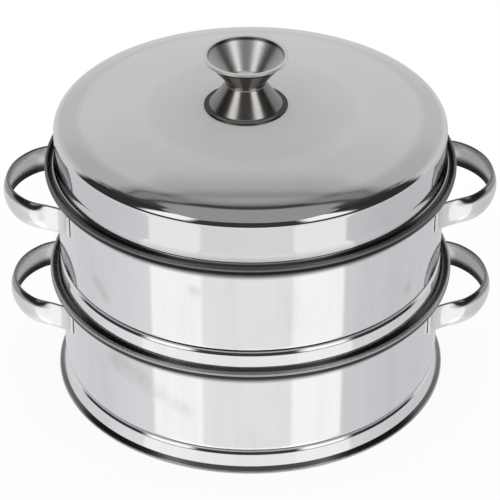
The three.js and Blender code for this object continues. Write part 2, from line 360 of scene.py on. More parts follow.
def tier_wall():
    """Spun wall with foot flange, pressed-in bead, stepped seat and rolled rim."""
    profile = eased([
        (RIM_IN, TIER_H, 0.5),
        (WALL_IN, TIER_H, 1.0),
        (WALL_IN, BEAD_Z + BEAD_HALF + BEND_LAG, 0.8),
        (WALL_IN - BEAD_D, BEAD_Z + BEAD_FLAT / 2 + BEND_LAG, 0.9),
        (WALL_IN - BEAD_D, BEAD_Z - BEAD_FLAT / 2 - BEND_LAG, 0.9),
        (WALL_IN, BEAD_Z - BEAD_HALF - BEND_LAG, 0.8),
        (WALL_IN, 0, 0.3),
        (FOOT_R, 0, 0.5),
        (FOOT_R, FOOT_EDGE, 0.6),
        (WALL_R + FLARE, FOOT_H + FLARE_UP, 0.4),
        (WALL_R, BEAD_Z - GROOVE_DOWN, 1.6),
        (WALL_R - GROOVE_D, BEAD_Z - GROOVE_DIP, 0.6),
        (WALL_R, BEAD_Z + GROOVE_UP, 6.0),
        (WALL_R, TIER_H - SHEET, 1.2),
        (RIM_IN, TIER_H - SHEET, 0.2),
        (RIM_IN, TIER_H - RIM_DROP + ROLL_HEM, 0),
        (RIM_IN, TIER_H + RIM_UP - ROLL_LIP, 0),
    ])
    return turned("wall", profile[:-1] + rim_roll() + profile[-1:], SHELL_SIDES)


# Pan and plate

def base_pan():
    """Deep dish that hangs in the bead, with a collar against the wall."""
    pan_r = WALL_IN - BEAD_D - FIT
    collar_top = bead_ledge(PLATE_R) + COLLAR_H
    return turned("lower_base_pan", eased([
        (0, PAN_LIFT, 0),
        (pan_r, PAN_LIFT, PAN_CORNER),
        (pan_r, bead_ledge(pan_r), 0.9),
        (PLATE_R, bead_ledge(PLATE_R), 0.9),
        (PLATE_R, collar_top, 0.35),
        (PLATE_R - SHEET, collar_top, 0.35),
        (PLATE_R - SHEET, bead_ledge(PLATE_R) + BEND_LAG, 1.2),
        (pan_r - SHEET, bead_ledge(pan_r) + BEND_LAG, 0.6),
        (pan_r - SHEET, PAN_LIFT + SHEET, PAN_CORNER - SHEET),
        (0, PAN_LIFT + SHEET, 0),
    ]), SHELL_SIDES, closed=False)


def steam_plate():
    """Flat disc with rings of steam holes and a bent-up rim, filled between circles and thickened."""
    rim_r = PLATE_R - SHEET / 2
    flat_r = rim_r - PLATE_BEND
    bpy.ops.object.select_all(action="DESELECT")
    bpy.ops.mesh.primitive_circle_add(vertices=SHELL_SIDES, radius=flat_r * MM)
    plate = named(bpy.context.object, "steam_plate_sheet")
    enter_edit()
    bpy.ops.mesh.primitive_circle_add(vertices=HOLE_SIDES, radius=HOLE_R * MM)
    for ring in range(1, HOLE_RINGS + 1):
        out = ring * HOLE_PITCH * MM
        for k in range(6 * ring):
            angle = 2 * math.pi * k / (6 * ring)
            place = (out * math.cos(angle), out * math.sin(angle), 0)
            bpy.ops.mesh.primitive_circle_add(vertices=HOLE_SIDES, radius=HOLE_R * MM, location=place)
    bpy.ops.mesh.select_all(action="SELECT")
    bpy.ops.mesh.fill(use_beauty=True)
    select_points(plate, lambda co: math.hypot(co.x, co.y) > (flat_r - NEAR) * MM)
    rise = [(flat_r, 0)] + arc(flat_r, PLATE_BEND, PLATE_BEND, -75, 0, 5)
    rise += [(rim_r, PLATE_RIM - SHEET / 2)]
    for (r0, z0), (r1, z1) in zip(rise, rise[1:]):
        extrude(0, 0, z1 - z0)
        bpy.ops.transform.resize(value=(r1 / r0, r1 / r0, 1), center_override=(0, 0, z1 * MM))
    close_up(plate)
    add_modifier(plate, "SOLIDIFY", thickness=SHEET * MM, offset=0)
    ease_edges(plate, PLATE_EASE, segments=2, angle=50)
    smooth()
    return apply_place(plate, z=TIER_PITCH + bead_ledge(PLATE_R) + SHEET / 2)


# Lid and knob

def lid_curve():
    """Chain of (radius, height, slope) from the middle of the lid to the top of its skirt."""
    radius, height = 0.0, CROWN_H
    chain = []
    for (r0, s0), (r1, s1) in zip(LID_SLOPES, LID_SLOPES[1:]):
        steps = round((r1 - r0) / (SHOULDER_STEP if r0 else DOME_STEP))
        width = (r1 - r0) / steps
        for k in range(steps):
            slope = s0 + (s1 - s0) * k / steps
            chain.append((radius, height, slope))
            height -= width * math.tan(math.radians(slope + (s1 - s0) / steps / 2))
            radius += width
    start = LID_SLOPES[-1][1]
    mid_r = LID_R - LID_BEND
    mid_z = height - LID_BEND * math.cos(math.radians(start))
    for k in range(LID_BEND_STEPS + 1):
        slope = start + (90 - start) * k / LID_BEND_STEPS
        a = math.radians(90 - slope)
        chain.append((mid_r + LID_BEND * math.cos(a), mid_z + LID_BEND * math.sin(a), slope))
    chain.append((LID_R, mid_z - FLAT_EDGE, 90))
    return chain


def lid_shell():
    """Shallow dome with a sloping shoulder, a round edge, a straight skirt and a foot flange."""
    chain = lid_curve()
    clear = STUD_HOLE + HOLE_FLAT
    outer = [(r, z) for r, z, slope in reversed(chain) if r > clear]
    inner = []
    for r, z, slope in chain:
        a = math.radians(90 - slope)
        inner.append((r - SHEET * math.cos(a), z - SHEET * math.sin(a)))
    inner = [(r, z) for r, z in inner if r > clear]
    foot = eased([
        (LID_R - SHEET, 0, 0.3),
        (FOOT_R, 0, 0.5),
        (FOOT_R, FOOT_EDGE, 0.6),
        (LID_R + LID_FLARE, FOOT_H + FLARE_UP, 0.4),
        (LID_R, LID_FLARE_TOP, LID_FLARE_ROUND),
        (LID_R, SKIRT_H, 0),
        (LID_R - SHEET, SKIRT_H, 0),
    ])[:-2]
    hole = [(STUD_HOLE, CROWN_H), (STUD_HOLE, CROWN_H - SHEET)]
    lid = turned("lid_dome", foot + outer + hole + inner, SHELL_SIDES)
    pick(lid)
    enter_edit()
    select_points(lid, lambda co: math.hypot(co.x, co.y) < (STUD_HOLE + NEAR) * MM)
    bpy.ops.transform.translate(value=(KNOB_X * MM, 0, 0))
    leave_edit()
    return apply_place(lid, z=LID_Z)


def knob_bell():
    """Lower half of the knob: a hollow cone with a flange on the lid and a closed top."""
    slant = math.atan2(BELL_R - SHOULDER_R, BELL_H - SHOULDER_DROP - FLANGE_T)
    side = KNOB_SHEET / math.cos(slant)
    bell = turned("knob_bell_cone", eased([
        (BELL_R - side, 0, 0.2),
        (FLANGE_R, 0, 0.3),
        (FLANGE_R, FLANGE_T, 0.6),
        (BELL_R, FLANGE_T, 1.6),
        (SHOULDER_R, BELL_H - SHOULDER_DROP, 1.5),
        (NECK_R, BELL_H, 0.4),
        (STUD_HOLE, BELL_H, 0.1),
        (STUD_HOLE, BELL_H - KNOB_SHEET, 0.1),
        (NECK_R - side, BELL_H - KNOB_SHEET, 0.3),
        (SHOULDER_R - side, BELL_H - SHOULDER_DROP, 0.5),
        (BELL_R - side, FLANGE_T, 0.4),
    ]), KNOB_SIDES)
    return apply_place(bell, x=KNOB_X, z=BELL_Z)


def knob_cup():
    """Upper half of the knob: a funnel with a flat floor and an outward lip."""
    cup = turned("knob_cup_funnel", eased([
        (STUD_HOLE, 0, 0.1),
        (NECK_R, 0, 0.35),
        (NECK_R, NECK_H, 1.0),
        (CUP_MOUTH_R + CUP_FLANK, CUP_H - CUP_LIP_T, 0.8),
        (CUP_R, CUP_H - CUP_LIP_T, 0.6),
        (CUP_R, CUP_H, 0.6),
        (CUP_MOUTH_R, CUP_H, 1.2),
        (CUP_FLOOR_R, KNOB_SHEET, 1.2),
        (STUD_HOLE, KNOB_SHEET, 0.1),
    ]), KNOB_SIDES)
    return apply_place(cup, x=KNOB_X, z=CUP_Z)


def knob_stud():
    """Stud with a low domed head, and a thread cut as rings at its lower end."""
    length = HEAD_Z - NUT_Z + STUD_END
    thread_top = NUT_H + STUD_END + WASHER_T + THREAD_PITCH - length
    profile = [(0, -length), (STUD_R - STUD_TIP_IN, -length)]
    z = STUD_TIP_H - length
    while z < thread_top:
        root = (STUD_R - THREAD_DEPTH, z + THREAD_PITCH / 2)
        profile += [(STUD_R, z), (STUD_R, z + THREAD_CREST), root]
        z += THREAD_PITCH
    profile += [(STUD_R, z), (STUD_R, 0)]
    profile += [(STUD_HEAD_R - STUD_HEAD_EASE, 0), (STUD_HEAD_R, STUD_HEAD_EASE)]
    profile += [(STUD_HEAD_R, STUD_HEAD_T / 2)]
    round_r, round_z = STUD_HEAD_R - STUD_HEAD_ROUND, STUD_HEAD_T - STUD_HEAD_ROUND
    profile += arc(round_r, round_z, STUD_HEAD_ROUND, 19, 90, 6)
    profile += [(0, STUD_HEAD_T)]
    stud = turned("knob_stud_bolt", profile, STUD_SIDES, closed=False)
    return apply_place(stud, x=KNOB_X, z=HEAD_Z)


def knob_washer():
    """Flat ring under the lid."""
    washer = turned("knob_washer_ring", eased([
        (STUD_HOLE, 0, 0.15),
        (WASHER_R, 0, 0.3),
        (WASHER_R, WASHER_T, 0.3),
        (STUD_HOLE, WASHER_T, 0.15),
    ]), STUD_SIDES)
    return apply_place(washer, x=KNOB_X, z=WASHER_Z)


def bar(sides, radius, length):
    """Upright bar with a number of sides, to be cut or to cut with."""
    bpy.ops.object.select_all(action="DESELECT")
    bpy.ops.mesh.primitive_cylinder_add(vertices=sides, radius=radius * MM, depth=length * MM)
    return bpy.context.object


def knob_nut():
    """Hexagon nut: a six-sided bar with chamfered corners, bored by a round cutter."""
    bore = bar(HOLE_SIDES, STUD_R + GAP, 3 * NUT_H)
    nut = named(bar(NUT_SIDES, NUT_FLATS / math.sqrt(3), NUT_H), "knob_nut_hex")
    ease_edges(nut, NUT_EASE, segments=3, angle=40)
    add_modifier(nut, "BOOLEAN", object=bore, operation="DIFFERENCE", solver="EXACT")
    bpy.data.objects.remove(bore)
    smooth()
    return apply_place(nut, x=KNOB_X, z=NUT_Z + NUT_H / 2)


# Handles

def smooth_line(points, steps=24):
    """Even chain of points on a smooth curve through the given points (centripetal spline)."""
    def pull(p, q, r, before, after):
        """Direction of the curve at q, between p and r, which are spans before and after it."""
        return [(v - u) / before - (w - u) / (before + after) + (w - v) / after for u, v, w in zip(p, q, r)]

    first = tuple(2 * a - b for a, b in zip(points[0], points[1]))
    last = tuple(2 * a - b for a, b in zip(points[-1], points[-2]))
    chain = [first, *points, last]
    line = []
    for p0, p1, p2, p3 in zip(chain, chain[1:], chain[2:], chain[3:]):
        a, b, c = (math.sqrt(math.dist(p, q)) for p, q in ((p0, p1), (p1, p2), (p2, p3)))
        leave = [b * value for value in pull(p0, p1, p2, a, b)]
        meet = [b * value for value in pull(p1, p2, p3, b, c)]
        for k in range(steps):
            t = k / steps
            shares = (2 * t**3 - 3 * t**2 + 1, t**3 - 2 * t**2 + t, 3 * t**2 - 2 * t**3, t**3 - t**2)
            pairs = zip(p1, leave, p2, meet)
            line.append(tuple(sum(h * v for h, v in zip(shares, values)) for values in pairs))
    line.append(points[-1])
    return line


def loop_line():
    """Middle line of a handle's strip from tab to tab, seen from above."""
    tab_r = WALL_R + GAP + STRAP_T / 2
    depth = WALL_R + HANDLE_REACH - STRAP_T / 2 - STRAP_CROWN - LOOP_ROOT
    side = []
    for s in (TAB_LENGTH, TAB_LENGTH / 2, 0):
        side.append((math.sqrt(tab_r**2 - (TAB_IN + s) ** 2), -TAB_IN - s))
    for angle in LOOP_ANGLES:
        a = math.radians(angle)
        side.append((LOOP_ROOT + depth * math.cos(a), -LOOP_HALF * math.sin(a)))
    points = side + [(LOOP_ROOT + depth, 0)] + [(x, -y) for x, y in reversed(side)]
    line = []
    for x, y in smooth_line(points):
        out = max(1, tab_r / math.hypot(x, y))  # no nearer to the wall than the tabs
        line.append((x * out, y * out))
    return line


def strap_stations(line):
    """Stations along a line: (x, y, outward x, outward y, distance from the nearer end)."""
    run = [0.0]
    for p, q in zip(line, line[1:]):
        run.append(run[-1] + math.dist(p, q))
    between = run[-1] - 2 * TAB_CORNER
    middle = [TAB_CORNER + between * k / STRAP_STEPS for k in range(1, STRAP_STEPS)]
    stations = []
    for s in [*TAB_STATIONS, *middle, *(run[-1] - e for e in reversed(TAB_STATIONS))]:
        i = max(k for k in range(len(run) - 1) if run[k] <= s + 1e-9)
        share = (s - run[i]) / (run[i + 1] - run[i])
        x, y = (p + (q - p) * share for p, q in zip(line[i], line[i + 1]))
        low, high = line[max(i - 2, 0)], line[min(i + 3, len(line) - 1)]
        size = math.dist(low, high)
        stations.append((x, y, (high[1] - low[1]) / size, -(high[0] - low[0]) / size, min(s, run[-1] - s)))
    return stations


def strip_crown(x):
    """Bulge of the strip's face, which grows away from the wall."""
    t = min(1, max(0, (x - LOOP_ROOT - CROWN_START) / (CROWN_FULL - CROWN_START)))
    return max(CROWN_LEAST, STRAP_CROWN * t * t * (3 - 2 * t))


def strip_half(s):
    """Half the strip's height at a distance from its end, less at the tab's round corners."""
    cut = max(0, TAB_CORNER - s)
    return STRAP_H / 2 - TAB_CORNER + math.sqrt(TAB_CORNER**2 - cut**2)


def loop_handle():
    """Strip drawn along the loop from tab to tab. Its face bulges, but is flat at the tabs."""
    stations = strap_stations(loop_line())
    rows = [k / STRAP_ROWS - 1 for k in range(2 * STRAP_ROWS + 1)]
    x, y, ox, oy, s = stations[0]
    bulge = [strip_crown(x) * (1 - u * u) for u in rows]
    handle = start_point("handle", x, y, -strip_half(s))
    for k in range(1, len(rows)):
        step = bulge[k] - bulge[k - 1]
        extrude(ox * step, oy * step, strip_half(s) * (rows[k] - rows[k - 1]))
    bpy.ops.mesh.select_all(action="SELECT")
    for (x0, y0, ox0, oy0, s0), (x1, y1, ox1, oy1, s1) in zip(stations, stations[1:]):
        extrude(x1 - x0, y1 - y0, 0)
        here = (x1 * MM, y1 * MM, 0)
        turn = math.atan2(ox0 * oy1 - oy0 * ox1, ox0 * ox1 + oy0 * oy1)
        bpy.ops.transform.rotate(value=-turn, orient_axis="Z", center_override=here)
        grow = (strip_crown(x1) / strip_crown(x0), 1, strip_half(s1) / strip_half(s0))
        axes = ((ox1, oy1, 0), (-oy1, ox1, 0), (0, 0, 1))
        bpy.ops.transform.resize(value=grow, orient_type="LOCAL", orient_matrix=axes,
                                 orient_matrix_type="LOCAL", center_override=here)
    close_up(handle)
    add_modifier(handle, "SOLIDIFY", thickness=STRAP_T * MM, offset=0)
    ease_edges(handle, STRAP_EASE, segments=3, angle=45)
    smooth()
    return handle


# Finishes

class Finish:
    """Small helper that builds a node tree by name."""

    def __init__(self, owner):
        owner.use_nodes = True
        self.tree = owner.node_tree
        self.tree.nodes.clear()

    def node(self, kind, **settings):
        made = self.tree.nodes.new(kind)
        for key, value in settings.items():
            setattr(made, key, value)
        return made

    def feed(self, socket, value):
        """Links a socket to another one, or sets it to a value."""
        if isinstance(value, bpy.types.NodeSocket):
            self.tree.links.new(value, socket)
        else:
            socket.default_value = value

    def math(self, operation, *values):
        made = self.node("ShaderNodeMath", operation=operation)
        for socket, value in zip(made.inputs, values):
            self.feed(socket, value)
        return made.outputs[0]

    def times(self, first, *others):
        """Product of all values."""
        for value in others:
            first = self.math("MULTIPLY", first, value)
        return first

    def split(self, vector):
        """The three parts of a vector."""
        made = self.node("ShaderNodeSeparateXYZ")
        self.feed(made.inputs[0], vector)
        return made.outputs[:]

    def fade(self, value, start, end, low=0.0, high=1.0):
        """Smooth step from low to high as value goes from start to end."""
        made = self.node("ShaderNodeMapRange", interpolation_type="SMOOTHSTEP")
        for socket, number in zip(made.inputs, (value, start, end, low, high)):
            self.feed(socket, number)
        return made.outputs[0]

    def band(self, value, start, full, ebb, end):
        """1 while value is between full and ebb, fading to 0 at start and end."""
        return self.times(self.fade(value, start, full), self.fade(value, ebb, end, 1, 0))

    def blend(self, share, low, high):
        """Number between low and high."""
        made = self.node("ShaderNodeMix", data_type="FLOAT")
        for socket, number in zip(made.inputs[0:1] + made.inputs[2:4], (share, low, high)):
            self.feed(socket, number)
        return made.outputs[0]

    def tint(self, share, low, high, way="MIX"):
        """Colour between low and high."""
        made = self.node("ShaderNodeMix", data_type="RGBA", blend_type=way)
        for socket, colour in zip(made.inputs[0:1] + made.inputs[6:8], (share, low, high)):
            self.feed(socket, colour)
        return made.outputs[2]

    def noise(self, place, scale, detail=2.0, roughness=0.5, squeeze=(1, 1, 1)):
        """Noise on the piece's own place, squeezed along its axes."""
        mapping = self.node("ShaderNodeMapping")
        self.feed(mapping.inputs["Vector"], place)
        mapping.inputs["Scale"].default_value = squeeze
        made = self.node("ShaderNodeTexNoise")
        self.feed(made.inputs["Vector"], mapping.outputs[0])
        made.inputs["Scale"].default_value = scale
        made.inputs["Detail"].default_value = detail
        made.inputs["Roughness"].default_value = roughness
        return made.outputs["Fac"]

    def spot(self, place, x, y, z, size):
        """1 at a place in millimetres, fading to 0 at a distance."""
        made = self.node("ShaderNodeVectorMath", operation="DISTANCE")
        self.feed(made.inputs[0], place)
        made.inputs[1].default_value = (x * MM, y * MM, z * MM)
        return self.fade(made.outputs["Value"], 0, size * MM, 1, 0)


def steel(name, bright, dull, *, shine, spread, lines, wave, wear_and_shade=None, metal=None):
    """Steel with polishing lines, faint smudges and a little unevenness in its gloss.

    bright and dull are its two tones, shine and spread its lowest roughness and how much smudges add,
    lines the squeeze of its polishing lines, and wave how much the sheet's face wavers. wear_and_shade
    adds the marks and the painted shade that only this piece shows: it is given the nodes, the place
    and the finish, which is a colour and a roughness. metal says where the face is so satin that it
    scatters light; without it the steel is bright metal all over.
    """
    material = bpy.data.materials.new(name)
    nodes = Finish(material)
    place = nodes.node("ShaderNodeTexCoord").outputs["Object"]
    smudge = nodes.fade(nodes.noise(place, scale=26, detail=4, roughness=0.6), 0.48, 0.72)
    grain = nodes.noise(place, scale=1, squeeze=lines)
    cloud = nodes.noise(place, scale=9)
    tone = nodes.math("ADD", nodes.times(smudge, 0.45), nodes.times(grain, 0.35))
    colour = nodes.tint(tone, (*bright, 1), (*dull, 1))
    rough = nodes.math("ADD", nodes.times(smudge, spread), nodes.times(grain, spread / 2))
    rough = nodes.math("ADD", rough, shine)
    if wear_and_shade:
        colour, rough = wear_and_shade(nodes, place, (colour, rough))
    bump = nodes.node("ShaderNodeBump")
    bump.inputs["Strength"].default_value = 1.0
    bump.inputs["Distance"].default_value = wave * MM
    nodes.feed(bump.inputs["Height"], nodes.math("ADD", cloud, nodes.times(grain, 0.02)))
    shader = nodes.node("ShaderNodeBsdfPrincipled")
    nodes.feed(shader.inputs["Base Color"], colour)
    nodes.feed(shader.inputs["Metallic"], metal(nodes, place) if metal else 1.0)
    nodes.feed(shader.inputs["Roughness"], rough)
    nodes.feed(shader.inputs["Normal"], bump.outputs[0])
    out = nodes.node("ShaderNodeOutputMaterial")
    nodes.feed(out.inputs["Surface"], shader.outputs[0])
    return material


# Wear and painted shade: masks in millimetres on each piece, and what they do to its colour and roughness

def darker(nodes, mask, finish, tone, roughness):
    """Multiplies the colour by a tone and brings the roughness to a value, where the mask is 1.

    The tone is a grey as one number, a colour or a socket.
    """
    colour, rough = finish
    if isinstance(tone, float):
        tone = (tone, tone, tone, 1)
    toned = nodes.tint(1.0, colour, tone, "MULTIPLY")
    return nodes.tint(mask, colour, toned), nodes.blend(mask, rough, roughness)


def millimetres(nodes, place):
    return [nodes.times(value, 1 / MM) for value in nodes.split(place)]


def from_axis(nodes, x, y):
    square = nodes.math("ADD", nodes.times(x, x), nodes.times(y, y))
    return nodes.math("SQRT", square)


def from_joint(nodes, z):
    """Height from the nearest joint of two tiers, which is where a foot stands."""
    lifted = nodes.math("ADD", z, TIER_PITCH / 2)
    return nodes.math("SUBTRACT", nodes.math("MODULO", lifted, TIER_PITCH), TIER_PITCH / 2)


def ring_place(nodes, place):
    """Radius, and height from the nearest joint of two tiers."""
    x, y, z = millimetres(nodes, place)
    return from_axis(nodes, x, y), from_joint(nodes, z)


def knob_place(nodes, place):
    """Radius from the knob's own axis, height, and 0 in front and behind to 1 at its left and right."""
    x, y, z = millimetres(nodes, place)
    x = nodes.math("SUBTRACT", x, KNOB_X)
    radius = from_axis(nodes, x, y)
    side = nodes.math("ABSOLUTE", nodes.math("DIVIDE", x, nodes.math("MAXIMUM", radius, 0.1)))
    return radius, z, side


def seam_painted_shade(nodes, place, finish, corner_top=3.9):
    """Painted shade on the foot's flange and in its corner with the wall, and a painted darker, rougher
    edge at the foot and the rolled rim.
    """
    radius, height = ring_place(nodes, place)
    z = millimetres(nodes, place)[2]
    lid_seam = nodes.fade(z, 1.5 * TIER_H, 1.5 * TIER_H + 1)
    # painted shade: the foot's edge and the rolled rim are darkened, far more at the upper joint and the
    # lid's foot
    edge = nodes.fade(radius, FOOT_R - 0.6, FOOT_R - 0.1)
    edge_shade_tone = nodes.tint(lid_seam, (0.58, 0.57, 0.56, 1), (0.24, 0.24, 0.24, 1))
    finish = darker(nodes, edge, finish, edge_shade_tone, 0.4)
    off_floor = nodes.fade(z, TIER_H / 4, TIER_H / 4 + 1)
    # painted shade on the foot's flange and in its corner with the wall, darker at the joints above the
    # floor
    corner = nodes.times(nodes.band(radius, WALL_R - 0.1, WALL_R + 0.2, FOOT_R - 0.8, FOOT_R - 0.2),
                         nodes.band(height, 0.9, 1.2, corner_top, 4.2))
    corner_shade_tone = nodes.tint(off_floor, (0.2, 0.2, 0.2, 1), (0.11, 0.11, 0.11, 1))
    return darker(nodes, corner, finish, corner_shade_tone, 0.2)


def lid_shade_and_satin(nodes, place, finish):
    """Painted shade at the foot and in a band just above it, and a satin middle of the dome."""
    # painted shade at the lid's foot: its flange, corner and edge
    finish = seam_painted_shade(nodes, place, finish, corner_top=3.2)
    radius, height = ring_place(nodes, place)
    # painted shade in a band on the skirt just above the foot
    dull = nodes.times(nodes.band(height, 3.8, 4.1, 4.6, LID_FLARE_TOP), 0.35)
    finish = darker(nodes, dull, finish, 0.4, 0.12)
    satin = nodes.fade(radius, 60, 86, 1, 0)
    return darker(nodes, satin, finish, 0.91, 0.2)


def dome_metal(nodes, place):
    """Bright metal at the lid's edge and skirt; the satin dome scatters part of the light."""
    x, y, _ = millimetres(nodes, place)
    radius = from_axis(nodes, x, y)
    return nodes.blend(nodes.fade(radius, 110, 117), nodes.fade(radius, 70, 86, 0.60, 0.75), 1.0)


MARKS = (  # finger marks on the walls: angle round from the front, height and size
    (-50.3, 119.2, 7), (-48.1, 114.7, 8), (-46.0, 109.3, 7), (-15.8, 139.5, 8),
    (52.0, 110.8, 8), (-42.8, 64.0, 12), (-38.8, 62.7, 14), (-34.8, 60.3, 14),
    (-31.7, 55.8, 12), (-27.0, 52.4, 10), (-21.9, 47.1, 9), (-18.6, 43.4, 10),
)
AROUND = (40, 40, 2600)  # lines that run round the pot
ACROSS = (900, 900, 60)  # a fine grain on flat sheet and fasteners
UPRIGHT = (75, 75, 5)  # faint streaks up and down the walls


def wall_marks_and_shade(nodes, place, finish):
    """Finger marks and faint streaks, and painted shade at the foot and rim, in the groove, under the roll
    and below the seat.
    """
    marks = 0.0
    for angle, z, size in MARKS:
        a = math.radians(angle)
        mark = nodes.spot(place, WALL_R * math.sin(a), -WALL_R * math.cos(a), z, size)
        marks = nodes.math("ADD", marks, mark)
    uneven = nodes.fade(nodes.noise(place, scale=80, detail=3, roughness=0.6), 0.3, 0.65, 0.35, 1.0)
    marks = nodes.times(nodes.math("MINIMUM", marks, 1.0), uneven)
    finish = darker(nodes, marks, finish, (0.86, 0.845, 0.82, 1), 0.12)
    streaks = nodes.noise(place, scale=1, detail=3, roughness=0.6, squeeze=UPRIGHT)
    finish = darker(nodes, nodes.fade(streaks, 0.42, 0.72), finish, 0.95, 0.075)
    # painted shade on the foot's flange, its corner and the rim's edge
    finish = seam_painted_shade(nodes, place, finish)
    radius, height = ring_place(nodes, place)
    # painted shade in the bead's groove, which is also rougher
    groove = nodes.band(height, BEAD_Z - 0.6, BEAD_Z - 0.1, BEAD_Z + 1.1, BEAD_Z + 1.9)
    finish = darker(nodes, groove, finish, 0.48, 0.16)
    # painted shade on the rolled rim's underside
    under_roll = nodes.times(nodes.fade(radius, RIM_IN - 0.2, RIM_IN), nodes.fade(height, 1.0, 1.7, 1, 0))
    finish = darker(nodes, under_roll, finish, 0.08, 0.3)
    # painted shade on the wall just below the rim's seat
    under_seat = nodes.times(nodes.band(height, -10.4, -6.6, -1.0, -0.5),
                             nodes.fade(radius, WALL_R + 0.2, WALL_R + 0.6, 1, 0), 0.92)
    return darker(nodes, under_seat, finish, 0.1, 0.2)


def strip_shade_and_wear(nodes, place, finish):
    """Painted shade inside and along the lower edge, a painted dark reflection high outside, a darker top
    edge.
    """
    x, y, z = millimetres(nodes, place)
    off = nodes.math("SUBTRACT", from_joint(nodes, z), HANDLE_Z - TIER_PITCH)  # from the strip's middle
    face_x, face_y, _ = nodes.split(nodes.node("ShaderNodeTexCoord").outputs["Normal"])
    from_wall = nodes.math("SUBTRACT", x, nodes.times(nodes.math("SIGN", x), WALL_R))
    outward = nodes.math("ADD", nodes.times(face_x, from_wall), nodes.times(face_y, y))
    # painted shade on the inner face, which faces the wall; it is also rougher
    inner = nodes.fade(outward, -6, -3, 1, 0)
    finish = darker(nodes, inner, finish, 0.82, 0.3)
    # painted shade along the inner face's lower edge
    below = nodes.times(inner, nodes.fade(off, -6.8, -3.8, 1, 0))
    finish = darker(nodes, below, finish, 0.14, 0.4)
    # painted dark reflection on the outer face's upper part, away from the tabs
    clear = nodes.fade(nodes.math("ABSOLUTE", x), WALL_R + 4, WALL_R + 12)  # away from the tabs
    above = nodes.times(nodes.fade(outward, 3, 6), nodes.fade(off, 3.8, 6.0), clear)
    finish = darker(nodes, above, finish, 0.4, 0.14)
    # darker and rougher along the top edge
    cut = nodes.fade(off, STRAP_H / 2 - 0.6, STRAP_H / 2 - 0.35)
    return darker(nodes, cut, finish, 0.42, 0.35)


def bell_painted_shade(nodes, place, finish):
    """Painted shade: the flange that stands on the lid and the cone's left and right sides are darkened."""
    radius, height, side = knob_place(nodes, place)
    top = BELL_Z + FLANGE_T
    # painted dark reflection on the flange's top
    flange = nodes.times(nodes.fade(radius, BELL_R - 0.6, BELL_R + 0.3),
                         nodes.fade(height, top + 0.4, top + 1.4, 1, 0))
    finish = darker(nodes, flange, finish, (0.3, 0.3, 0.31, 1), 0.25)
    # painted dark reflection on the cone's left and right sides
    outer = nodes.times(nodes.fade(side, 0.55, 0.8), 0.85)
    return darker(nodes, outer, finish, (0.3, 0.31, 0.33, 1), 0.26)


def cup_painted_shade(nodes, place, finish):
    """Painted shade in the funnel's sides and mouth, and under the lip with warm painted highlights."""
    radius, height, side = knob_place(nodes, place)
    ring_low, ring_full = CUP_MOUTH_R - 1.7, CUP_MOUTH_R - 0.9
    # painted shade on the inside of the funnel at its left and right, which is also rougher
    flanks = nodes.times(nodes.fade(side, 0.58, 0.78), nodes.fade(radius, ring_low, ring_full, 1, 0))
    finish = darker(nodes, flanks, finish, 0.42, 0.36)
    # painted shade in a ring just inside the funnel's mouth
    ring = nodes.band(radius, ring_low, ring_full, CUP_MOUTH_R - 0.2, CUP_MOUTH_R + 0.3)
    finish = darker(nodes, ring, finish, 0.18, 0.3)
    slant = (CUP_MOUTH_R - CUP_FLOOR_R) / (CUP_H - KNOB_SHEET)
    inside = nodes.times(nodes.math("SUBTRACT", height, CUP_Z + KNOB_SHEET), slant)
    past = nodes.math("SUBTRACT", nodes.math("SUBTRACT", radius, inside), CUP_FLOOR_R)
    lip_z = CUP_Z + CUP_H - CUP_LIP_T
    # painted shade on the funnel's outside under the lip, with warm painted highlight strips either side of
    # front and back
    outside = nodes.times(nodes.fade(past, 0.35, 0.55), nodes.fade(height, lip_z - 0.3, lip_z, 1, 0))
    panel = nodes.band(side, 0.10, 0.22, 0.42, 0.56)
    shade_and_sheen_tone = nodes.tint(panel, (0.15, 0.145, 0.14, 1), (0.62, 0.56, 0.49, 1))
    return darker(nodes, outside, finish, shade_and_sheen_tone, 0.3)


wall_steel = steel("polished_wall_steel", (0.86, 0.86, 0.865), (0.80, 0.80, 0.805),
                   shine=0.05, spread=0.05, lines=AROUND, wave=0.2, wear_and_shade=wall_marks_and_shade)
handle_steel = steel("polished_strip_steel", (0.85, 0.85, 0.85), (0.78, 0.78, 0.78),
                     shine=0.09, spread=0.05, lines=AROUND, wave=0.12, wear_and_shade=strip_shade_and_wear)
lid_steel = steel("polished_lid_steel", (0.74, 0.74, 0.745), (0.69, 0.69, 0.695),
                  shine=0.05, spread=0.03, lines=AROUND, wave=0.05, wear_and_shade=lid_shade_and_satin, metal=dome_metal)
satin_steel = steel("satin_sheet_steel", (0.72, 0.72, 0.72), (0.64, 0.64, 0.64),
                    shine=0.24, spread=0.08, lines=ACROSS, wave=0.1)
# tones darker than the cup's steel: painted shade for the bell's dark reflections
bell_steel = steel("turned_bell_steel", (0.58, 0.555, 0.525), (0.48, 0.46, 0.435),
                   shine=0.19, spread=0.04, lines=AROUND, wave=0.02, wear_and_shade=bell_painted_shade)
cup_steel = steel("turned_cup_steel", (0.92, 0.91, 0.89), (0.84, 0.83, 0.81),
                  shine=0.31, spread=0.05, lines=AROUND, wave=0.02, wear_and_shade=cup_painted_shade)
fastener_steel = steel("plain_fastener_steel", (0.66, 0.66, 0.66), (0.56, 0.56, 0.56),
                       shine=0.25, spread=0.1, lines=ACROSS, wave=0.05)


# Assembly

def fit(piece, material, body, node):
    """Gives a piece its finish and puts it in the place of its solid."""
    piece.data.materials.clear()
    piece.data.materials.append(material)
    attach(piece, body)
    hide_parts(node)


